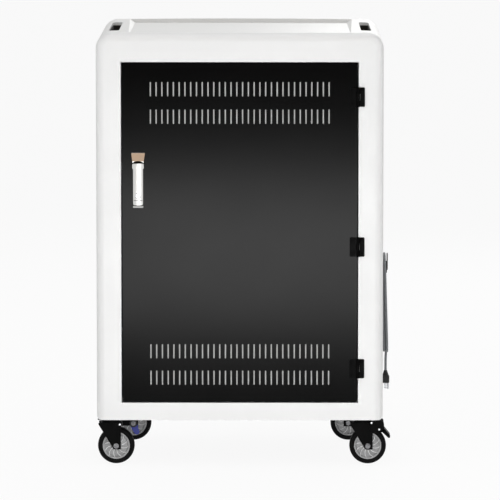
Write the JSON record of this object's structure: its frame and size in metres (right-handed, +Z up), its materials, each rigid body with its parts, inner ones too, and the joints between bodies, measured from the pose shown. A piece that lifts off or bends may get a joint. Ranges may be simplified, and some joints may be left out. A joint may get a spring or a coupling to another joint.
{
  "type": "laptop charging cart",
  "caption": "Tall wheeled cabinet with a vented locking front door, laptop bays on shelves, a charger bay behind a rear door, a top tray with hand slots and a wound power cord.",
  "frame": {"origin": "middle of the footprint on the floor, measured without the cord", "axes": "+Z up, -Y the front with the vented door, +X the side with the cord"},
  "size_m": [0.8052, 0.6238, 1.187],
  "materials": {
    "white_panel": "satin white paint",
    "white_moulding": "satin",
    "vent_filter": "matt",
    "black_panel": "gloss paint",
    "black_metal": "satin paint",
    "black_plastic": "matt",
    "grey_plastic": "satin",
    "blue_plastic": "gloss",
    "satin_chrome": "satin",
    "bare_steel": "zinc plated",
    "wheel_rim": "satin",
    "wheel_tyre": "matt",
    "cable": "matt"
  },
  "bodies": {
    "cabinet": {"base_pan": "black_panel", "front_frame": "white_panel", "left_side_panel": "white_panel", "right_side_panel": "white_panel", "top_cover": "white_moulding", "tray_panel": "white_moulding", "left_grip_cup": "black_plastic", "right_grip_cup": "black_plastic", "charger_partition": "white_panel", "lower_shelf": "white_panel", "upper_shelf": "white_panel", "lower_divider_rack": "black_plastic", "upper_divider_rack": "black_plastic", "lower_power_strip": "black_plastic", "upper_power_strip": "black_plastic", "timer_unit": "grey_plastic", "upper_rear_pivot": "bare_steel", "lower_rear_pivot": "bare_steel", "cord_gland": "black_plastic", "cord_hook": "black_plastic", "power_cord": "cable", "power_plug": "black_plastic", "top_hinge_frame_leaf": "black_metal", "middle_hinge_frame_leaf": "black_metal", "bottom_hinge_frame_leaf": "black_metal", "front_left_caster_plate": "bare_steel", "front_right_caster_plate": "bare_steel", "rear_left_caster_plate": "bare_steel", "rear_right_caster_plate": "bare_steel"},
    "front_door": {"front_door": "black_panel", "upper_vent_filter": "vent_filter", "lower_vent_filter": "vent_filter", "handle_base": "satin_chrome", "top_hinge_door_leaf": "black_metal", "middle_hinge_door_leaf": "black_metal", "bottom_hinge_door_leaf": "black_metal"},
    "lock_spindle": {"lock_spindle": "bare_steel"},
    "lock_lever": {"lock_lever": "satin_chrome"},
    "key_plug": {"key_plug": "bare_steel"},
    "rear_door": {"rear_door": "black_panel"},
    "rear_lock": {"rear_lock": "satin_chrome"},
    "rocker_switch": {"rocker_switch": "black_plastic"},
    "front_left_swivel": {"front_left_caster_fork": "black_metal", "front_left_caster_axle": "bare_steel"},
    "front_left_wheel": {"front_left_wheel_rim": "wheel_rim", "front_left_tyre": "wheel_tyre"},
    "front_right_swivel": {"front_right_caster_fork": "black_metal", "front_right_caster_axle": "bare_steel"},
    "front_right_wheel": {"front_right_wheel_rim": "wheel_rim", "front_right_tyre": "wheel_tyre"},
    "front_right_brake": {"front_right_brake_pedal": "black_metal"},
    "rear_left_swivel": {"rear_left_caster_fork": "black_metal", "rear_left_caster_axle": "bare_steel"},
    "rear_left_wheel": {"rear_left_wheel_rim": "wheel_rim", "rear_left_tyre": "wheel_tyre"},
    "rear_left_brake": {"rear_left_brake_lever": "blue_plastic"},
    "rear_right_swivel": {"rear_right_caster_fork": "black_metal", "rear_right_caster_axle": "bare_steel"},
    "rear_right_wheel": {"rear_right_wheel_rim": "wheel_rim", "rear_right_tyre": "wheel_tyre"}
  },
  "joints": [
    {"name": "front_door_hinge", "type": "hinge", "parent": "cabinet", "child": "front_door", "pos_m": [0.30675, -0.2965, 0.637], "axis": [0, 0, 1], "range_deg": [0, 170]},
    {"name": "spindle_turn", "type": "hinge", "parent": "front_door", "child": "lock_spindle", "pos_m": [-0.28525, -0.2916, 0.811], "axis": [0, -1, 0], "range_deg": [0, 90]},
    {"name": "lever_tilt", "type": "hinge", "parent": "lock_spindle", "child": "lock_lever", "pos_m": [-0.28525, -0.3046, 0.811], "axis": [-1, 0, 0], "range_deg": [0, 20]},
    {"name": "key_turn", "type": "hinge", "parent": "lock_lever", "child": "key_plug", "pos_m": [-0.28525, -0.3106, 0.74], "axis": [0, -1, 0], "range_deg": [0, 90]},
    {"name": "rear_door_hinge", "type": "hinge", "parent": "cabinet", "child": "rear_door", "pos_m": [0.32525, 0.3004, 0.635], "axis": [0, 0, -1], "range_deg": [0, 110]},
    {"name": "rear_lock_turn", "type": "hinge", "parent": "rear_door", "child": "rear_lock", "pos_m": [-0.32875, 0.3084, 0.64], "axis": [0, 1, 0], "range_deg": [0, 90]},
    {"name": "rocker_tilt", "type": "hinge", "parent": "cabinet", "child": "rocker_switch", "pos_m": [0.20325, 0.1762, 0.82], "axis": [-1, 0, 0], "range_deg": [0, 10]},
    {"name": "front_left_swivel_turn", "type": "hinge", "parent": "cabinet", "child": "front_left_swivel", "pos_m": [-0.36175, -0.2216, 0.11], "axis": [0, 0, 1], "continuous": true},
    {"name": "front_left_wheel_roll", "type": "hinge", "parent": "front_left_swivel", "child": "front_left_wheel", "pos_m": [-0.34875, -0.2216, 0.05], "axis": [0, 1, 0], "continuous": true},
    {"name": "front_right_swivel_turn", "type": "hinge", "parent": "cabinet", "child": "front_right_swivel", "pos_m": [0.32325, -0.2216, 0.11], "axis": [0, 0, 1], "continuous": true},
    {"name": "front_right_wheel_roll", "type": "hinge", "parent": "front_right_swivel", "child": "front_right_wheel", "pos_m": [0.33625, -0.2216, 0.05], "axis": [0, 1, 0], "continuous": true},
    {"name": "front_right_brake_press", "type": "hinge", "parent": "front_right_swivel", "child": "front_right_brake", "pos_m": [0.34325, -0.2216, 0.096], "axis": [0, 1, 0], "range_deg": [0, 5]},
    {"name": "rear_left_swivel_turn", "type": "hinge", "parent": "cabinet", "child": "rear_left_swivel", "pos_m": [-0.32775, 0.2084, 0.11], "axis": [0, 0, 1], "continuous": true},
    {"name": "rear_left_wheel_roll", "type": "hinge", "parent": "rear_left_swivel", "child": "rear_left_wheel", "pos_m": [-0.31475, 0.2084, 0.05], "axis": [0, 1, 0], "continuous": true},
    {"name": "rear_left_brake_swing", "type": "hinge", "parent": "rear_left_swivel", "child": "rear_left_brake", "pos_m": [-0.31475, 0.2084, 0.05], "axis": [0, -1, 0], "range_deg": [0, 40]},
    {"name": "rear_right_swivel_turn", "type": "hinge", "parent": "cabinet", "child": "rear_right_swivel", "pos_m": [0.30425, 0.2084, 0.11], "axis": [0, 0, 1], "continuous": true},
    {"name": "rear_right_wheel_roll", "type": "hinge", "parent": "rear_right_swivel", "child": "rear_right_wheel", "pos_m": [0.29125, 0.2084, 0.05], "axis": [0, 1, 0], "continuous": true}
  ]
}
